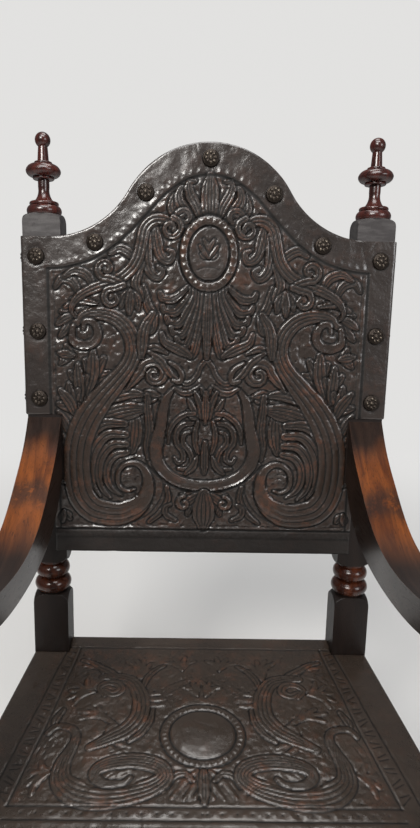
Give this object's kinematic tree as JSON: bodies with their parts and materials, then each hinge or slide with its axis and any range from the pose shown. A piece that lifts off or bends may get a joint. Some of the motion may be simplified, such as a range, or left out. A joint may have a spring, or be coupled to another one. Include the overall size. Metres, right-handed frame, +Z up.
{
  "type": "armchair",
  "caption": "High-backed joined armchair with a raked arched back and flat seat of tooled leather nailed to a pegged wooden frame, swept arms and turned finials",
  "frame": {"origin": "on the floor, under the middle of the whole chair's bounding box", "axes": "+X to the right when facing the chair, +Y to the chair's back, +Z up; the chair faces -Y"},
  "size_m": [0.6866, 0.6158, 1.2729],
  "materials": {
    "dark_walnut": "dark waxed walnut, satin",
    "worn_walnut": "waxed walnut worn to warm brown on the arms, satin",
    "red_mahogany": "polished red-brown turned wood, glossy",
    "tooled_leather": "dark tooled and waxed hide, worn to red-brown on the raised work",
    "nail_brass": "dark patinated brass",
    "tack_iron": "black iron",
    "strap_leather": "plain brown strap leather",
    "peg_wood": "end grain, waxed"
  },
  "bodies": {
    "root": {"rear_post_left": "dark_walnut", "finial_left": "red_mahogany", "arm_left": "worn_walnut", "front_post_left": "dark_walnut", "seat_rail_left": "dark_walnut", "side_stretcher_left": "dark_walnut", "side_nails_left": "nail_brass", "seat_nails_left": "nail_brass", "rear_post_right": "dark_walnut", "finial_right": "red_mahogany", "arm_right": "worn_walnut", "front_post_right": "dark_walnut", "seat_rail_right": "dark_walnut", "side_stretcher_right": "dark_walnut", "side_nails_right": "nail_brass", "seat_nails_right": "nail_brass", "crest_rail": "dark_walnut", "lower_back_rail": "dark_walnut", "seat_rail_front": "dark_walnut", "seat_rail_rear": "dark_walnut", "middle_stretcher": "dark_walnut", "rear_stretcher": "dark_walnut", "front_stretcher": "dark_walnut", "back_leather": "tooled_leather", "seat_leather": "tooled_leather", "back_nails": "nail_brass", "seat_nails_front": "nail_brass", "back_tacks": "tack_iron", "seat_tacks": "tack_iron", "strap_tacks": "tack_iron", "lengthwise_straps": "strap_leather", "crosswise_straps": "strap_leather", "back_pegs": "peg_wood", "arm_pegs": "peg_wood", "seat_pegs": "peg_wood", "stretcher_pegs": "peg_wood"}
  },
  "joints": []
}
